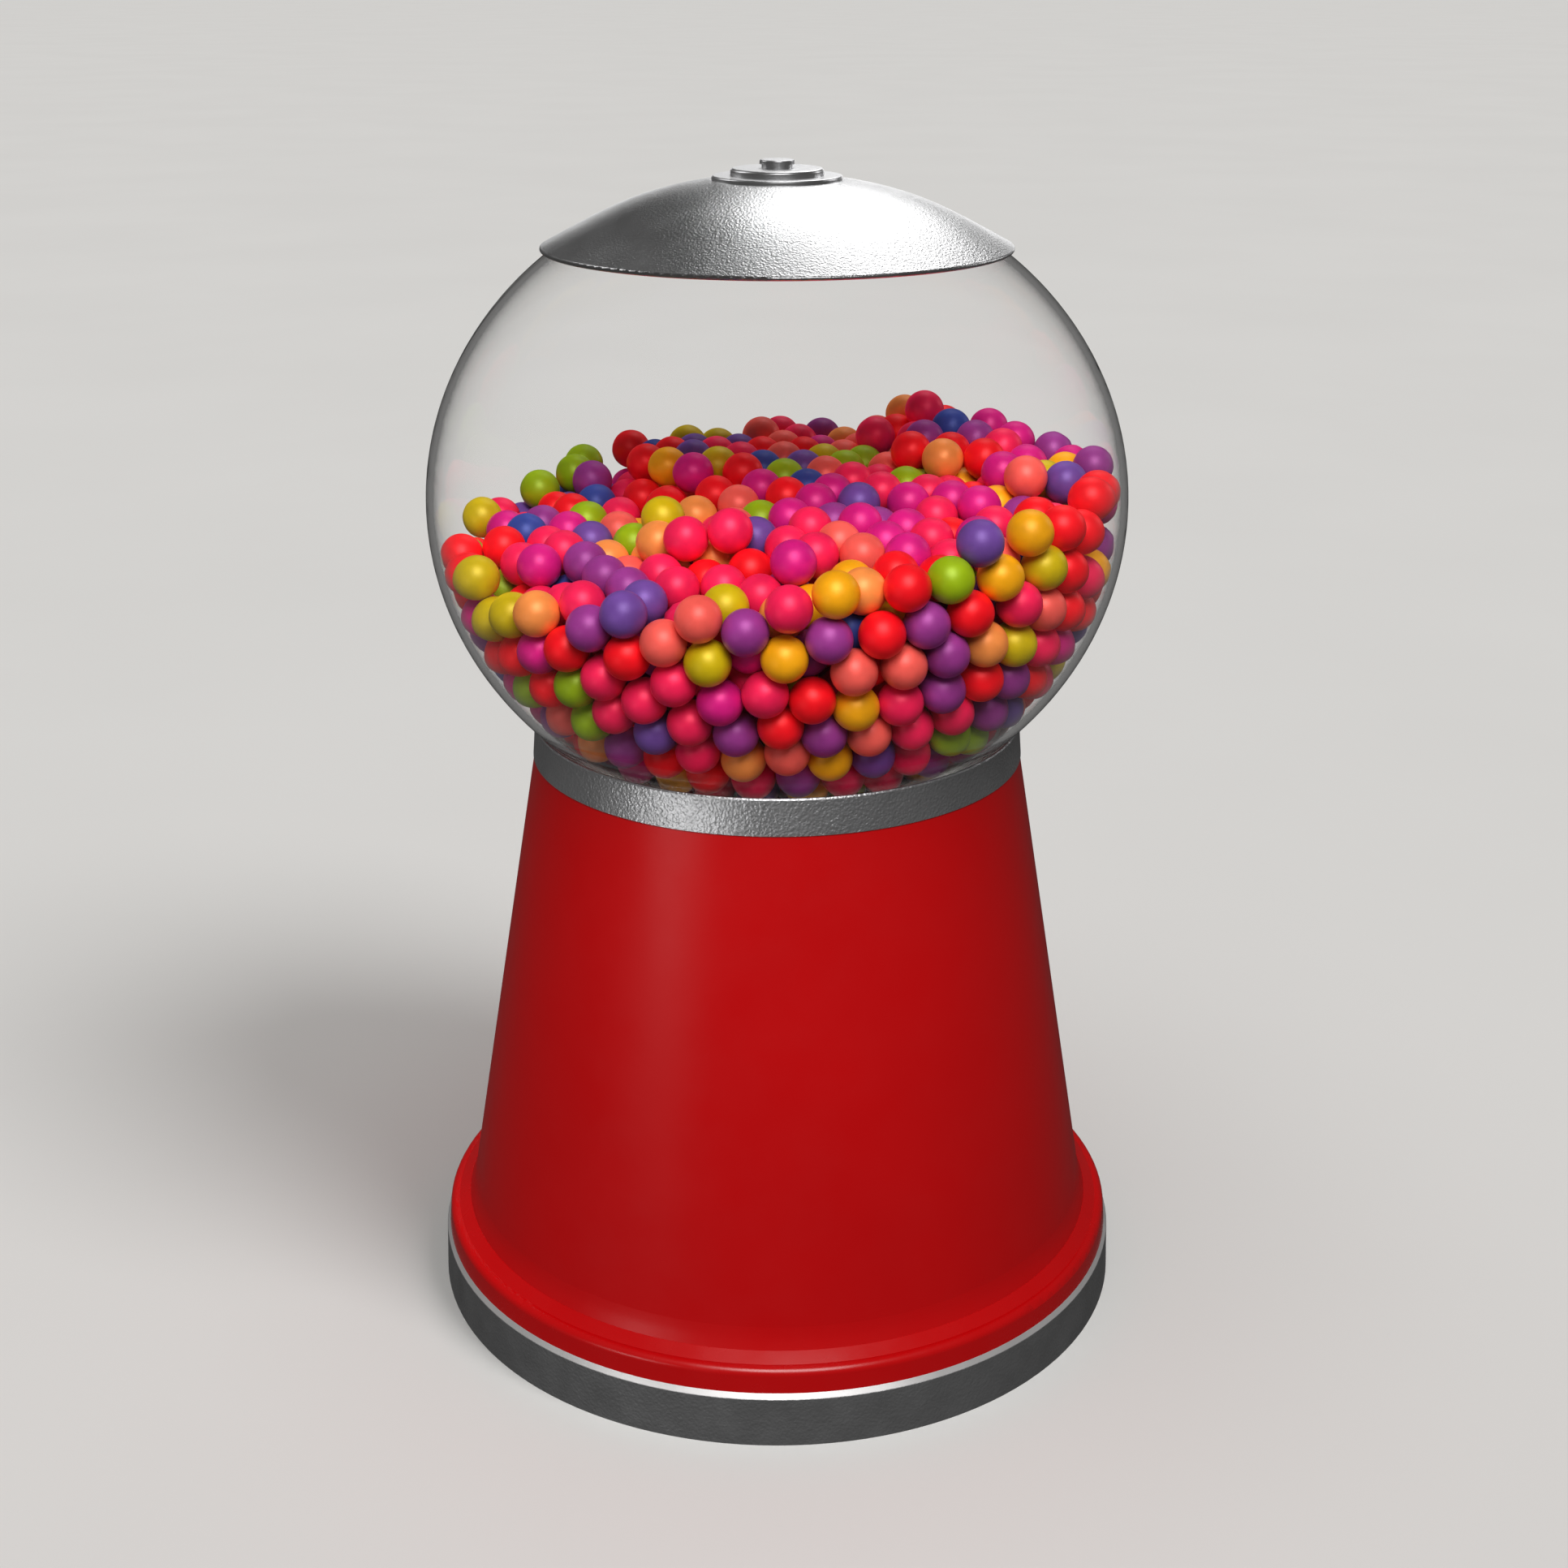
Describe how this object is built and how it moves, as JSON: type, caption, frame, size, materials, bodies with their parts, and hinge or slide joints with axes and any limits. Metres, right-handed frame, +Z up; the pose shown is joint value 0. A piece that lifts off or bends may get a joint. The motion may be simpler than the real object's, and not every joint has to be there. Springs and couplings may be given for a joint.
{
  "type": "gumball machine",
  "caption": "Clear globe on a tapered metal body, with a lift-off lid, a hand-turned coin mechanism and a dispensing wheel that drops a gumball to a flap-covered outlet.",
  "frame": {"origin": "on the vertical axis, on the surface the machine stands on", "axes": "+Z up; the coin mechanism and the outlet face -Y; +X to the right when seen from the front"},
  "size_m": [0.238, 0.238, 0.3802],
  "materials": {
    "cast_textured": "fine hammered texture",
    "red_enamel": "satin gloss enamel",
    "lid_metal": "fine textured satin",
    "polished_metal": "polished",
    "chrome_plate": "polished plating",
    "screw_steel": "bright zinc plated",
    "galvanised_sheet": "zinc plated sheet",
    "spring_steel": "tempered",
    "gear_steel": "machined",
    "bronze": "sintered",
    "rubber_black": "matte",
    "seal_clear": "soft translucent",
    "globe_clear": "clear",
    "gumballs": "candy shell, mixed colours",
    "hopper_plastic": "moulded",
    "wheel_plastic": "moulded acetal",
    "chute_plastic": "moulded",
    "cap_plastic": "moulded"
  },
  "bodies": {
    "machine": {"base_ring": "cast_textured", "collar_ring": "cast_textured", "base_flange": "red_enamel", "body_shell": "red_enamel", "front_plate": "chrome_plate", "coin_bezel": "chrome_plate", "chute_spout": "chrome_plate", "base_screws": "screw_steel", "collar_screws": "screw_steel", "guard_screws": "screw_steel", "spout_screws": "screw_steel", "plate_screws": "screw_steel", "frame_screws": "screw_steel", "rod_bottom_nut": "screw_steel", "rod_washers": "screw_steel", "rod_cap_nut": "screw_steel", "tie_rod": "screw_steel", "door_pin": "screw_steel", "base_plate": "galvanised_sheet", "mech_frame": "galvanised_sheet", "coin_deflector": "galvanised_sheet", "ball_guard": "galvanised_sheet", "ratchet_pawl": "spring_steel", "shaft_bush": "bronze", "foot_pads": "rubber_black", "globe_gasket": "seal_clear", "globe_glass": "globe_clear", "gumball_fill": "gumballs", "hopper": "hopper_plastic", "chute": "chute_plastic"},
    "handle": {"crank_handle": "chrome_plate", "handle_screw": "screw_steel", "coin_carrier": "chrome_plate", "drive_shaft": "screw_steel", "shaft_clip": "spring_steel", "ratchet_wheel": "gear_steel", "drive_pinion": "gear_steel"},
    "wheel": {"gumball_wheel": "wheel_plastic", "agitator": "wheel_plastic"},
    "lid": {"lid_shell": "lid_metal", "lid_gasket": "seal_clear", "finial_lower_disc": "polished_metal", "finial_upper_disc": "polished_metal", "finial_button": "polished_metal", "finial_nut": "screw_steel"},
    "door": {"chute_door": "chrome_plate"},
    "cap": {"coin_cap": "cap_plastic"}
  },
  "joints": [
    {"name": "handle_turn", "type": "hinge", "parent": "machine", "child": "handle", "pos_m": [0, -0.1015, 0.1682], "axis": [0, 1, 0], "continuous": true, "deforming": ["ratchet_pawl"]},
    {"name": "wheel_turn", "type": "hinge", "parent": "machine", "child": "wheel", "pos_m": [0, 0, 0.1783], "axis": [0, 0, 1], "continuous": true},
    {"name": "lid_lift", "type": "slide", "parent": "machine", "child": "lid", "axis": [0, 0, 1], "range_m": [0, 0.12]},
    {"name": "door_swing", "type": "hinge", "parent": "machine", "child": "door", "pos_m": [0, -0.1075, 0.1245], "axis": [-1, 0, 0], "range_deg": [0, 75]},
    {"name": "cap_turn", "type": "hinge", "parent": "machine", "child": "cap", "pos_m": [0, 0.06, 0.008], "axis": [0, 0, 1], "range_deg": [0, 45]}
  ],
  "couplings": [
    {"joint": "wheel_turn", "follows": "handle_turn", "ratio": 0.16667}
  ]
}
